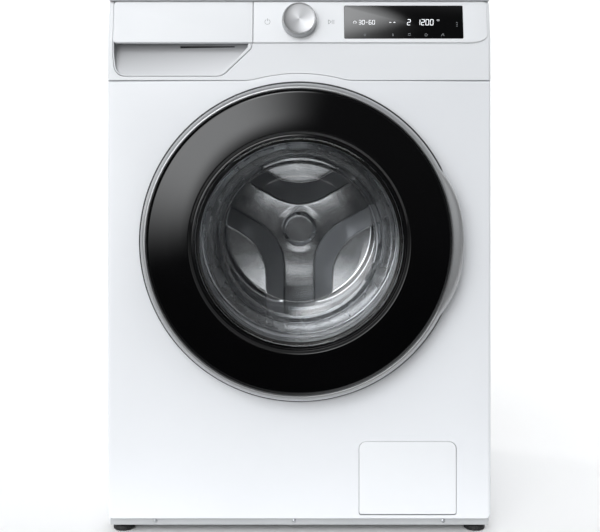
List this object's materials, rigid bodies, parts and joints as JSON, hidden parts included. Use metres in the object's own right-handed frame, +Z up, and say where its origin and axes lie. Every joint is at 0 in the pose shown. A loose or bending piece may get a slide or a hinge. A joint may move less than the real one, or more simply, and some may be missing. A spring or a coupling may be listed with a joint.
{
  "type": "front load washing machine",
  "caption": "Freestanding front load washing machine with a round glass door, selector knob, display, detergent drawer and service flap on a white cabinet.",
  "frame": {"origin": "on the floor under the middle of the machine's bounding box", "axes": "+Z up, front faces -Y, +X to the right seen from the front"},
  "size_m": [0.6, 0.61, 0.85],
  "materials": {
    "white_paint": "satin powder coat",
    "worktop_laminate": "fine textured",
    "white_plastic": "satin moulded",
    "tray_plastic": "satin moulded",
    "base_grey": "satin moulded",
    "grey_plastic": "matt moulded",
    "lifter_plastic": "satin moulded",
    "dark_plastic": "matt moulded",
    "board_case": "matt",
    "black_gloss": "piano black",
    "silver_trim": "satin metallic",
    "spun_metal": "spun face",
    "door_glass": "clear",
    "drum_steel": "brushed",
    "steel": "zinc plated",
    "galvanised": "galvanised sheet",
    "aluminium": "die cast",
    "cast_iron": "raw casting",
    "grey_rubber": "matt",
    "black_rubber": "matt"
  },
  "bodies": {
    "cabinet": {"base_tray": "galvanised", "base_strip": "base_grey", "side_panel_left": "white_paint", "side_panel_right": "white_paint", "rear_panel": "white_paint", "rear_service_cover": "white_paint", "front_panel": "white_paint", "worktop": "worktop_laminate", "crossbar": "galvanised", "control_panel": "white_plastic", "display_window": "black_gloss", "control_board": "board_case", "drawer_housing": "grey_plastic", "hinge_bracket": "steel", "door_lock": "dark_plastic", "door_gasket": "grey_rubber", "spring_left": "steel", "spring_right": "steel", "damper_tube_left": "dark_plastic", "damper_tube_right": "dark_plastic", "inlet_valve": "white_plastic", "drain_outlet": "dark_plastic", "cord_gland": "dark_plastic", "drain_pump": "dark_plastic", "sump_hose": "black_rubber", "fill_hose": "black_rubber"},
    "tub": {"tub_front": "grey_plastic", "tub_rear": "grey_plastic", "front_bearing": "steel", "rear_bearing": "steel", "counterweight": "cast_iron", "motor": "aluminium", "drive_belt": "black_rubber", "heater": "steel", "damper_rod_left": "steel", "damper_rod_right": "steel"},
    "drum": {"drum_shell": "drum_steel", "drum_back": "drum_steel", "drum_lifter_1": "lifter_plastic", "drum_lifter_2": "lifter_plastic", "drum_lifter_3": "lifter_plastic", "drum_spider": "aluminium", "drum_shaft": "steel", "drum_pulley": "aluminium"},
    "motor_rotor": {"motor_pulley": "steel"},
    "door": {"door_trim": "silver_trim", "door_cover": "black_gloss", "door_glass": "door_glass", "door_inner_frame": "grey_plastic", "door_hinge_arm": "steel"},
    "latch": {"latch_hook": "steel"},
    "knob": {"selector_knob": "spun_metal"},
    "drawer": {"drawer_front": "white_plastic", "drawer_tray": "tray_plastic"},
    "flap": {"service_flap": "white_plastic"},
    "filter": {"pump_filter": "base_grey"},
    "foot_fl": {"foot_front_left": "black_rubber"},
    "foot_fr": {"foot_front_right": "black_rubber"},
    "foot_rl": {"foot_rear_left": "black_rubber"},
    "foot_rr": {"foot_rear_right": "black_rubber"}
  },
  "joints": [
    {"name": "tub_suspension", "type": "slide", "parent": "cabinet", "child": "tub", "axis": [0, 0, 1], "range_m": [-0.008, 0.008], "stiffness_N_per_m": 30000, "springref_m": 0.02, "deforming": ["spring_left", "spring_right", "fill_hose", "sump_hose", "door_gasket"]},
    {"name": "drum_spin", "type": "hinge", "parent": "tub", "child": "drum", "pos_m": [0, 0.167, 0.466], "axis": [0, 1, 0], "continuous": true},
    {"name": "motor_spin", "type": "hinge", "parent": "tub", "child": "motor_rotor", "pos_m": [0, 0.227, 0.118], "axis": [0, 1, 0], "continuous": true},
    {"name": "door_hinge", "type": "hinge", "parent": "cabinet", "child": "door", "pos_m": [-0.233, -0.287, 0.458], "axis": [0, 0, -1], "range_deg": [0, 105]},
    {"name": "latch_pivot", "type": "hinge", "parent": "door", "child": "latch", "pos_m": [0.206, -0.277, 0.458], "axis": [0, 0, -1], "range_deg": [0, 8], "stiffness_Nm_per_rad": 0.3},
    {"name": "knob_turn", "type": "hinge", "parent": "cabinet", "child": "knob", "pos_m": [0, -0.25991, 0.802], "axis": [0, -0.9843, 0.1763], "continuous": true},
    {"name": "drawer_slide", "type": "slide", "parent": "cabinet", "child": "drawer", "axis": [0, -1, 0], "range_m": [0, 0.22]},
    {"name": "flap_hinge", "type": "hinge", "parent": "cabinet", "child": "flap", "pos_m": [0.169, -0.2595, 0.0355], "axis": [1, 0, 0], "range_deg": [0, 85]},
    {"name": "filter_turn", "type": "hinge", "parent": "cabinet", "child": "filter", "pos_m": [0.17, -0.243, 0.088], "axis": [0, -1, 0], "range_deg": [0, 180]},
    {"name": "foot_fl_turn", "type": "hinge", "parent": "cabinet", "child": "foot_fl", "pos_m": [-0.279, -0.231, 0.02], "axis": [0, 0, 1], "continuous": true},
    {"name": "foot_fr_turn", "type": "hinge", "parent": "cabinet", "child": "foot_fr", "pos_m": [0.279, -0.231, 0.02], "axis": [0, 0, 1], "continuous": true},
    {"name": "foot_rl_turn", "type": "hinge", "parent": "cabinet", "child": "foot_rl", "pos_m": [-0.279, 0.255, 0.02], "axis": [0, 0, 1], "continuous": true},
    {"name": "foot_rr_turn", "type": "hinge", "parent": "cabinet", "child": "foot_rr", "pos_m": [0.279, 0.255, 0.02], "axis": [0, 0, 1], "continuous": true}
  ],
  "couplings": [
    {"joint": "motor_spin", "follows": "drum_spin", "ratio": 12.727}
  ]
}
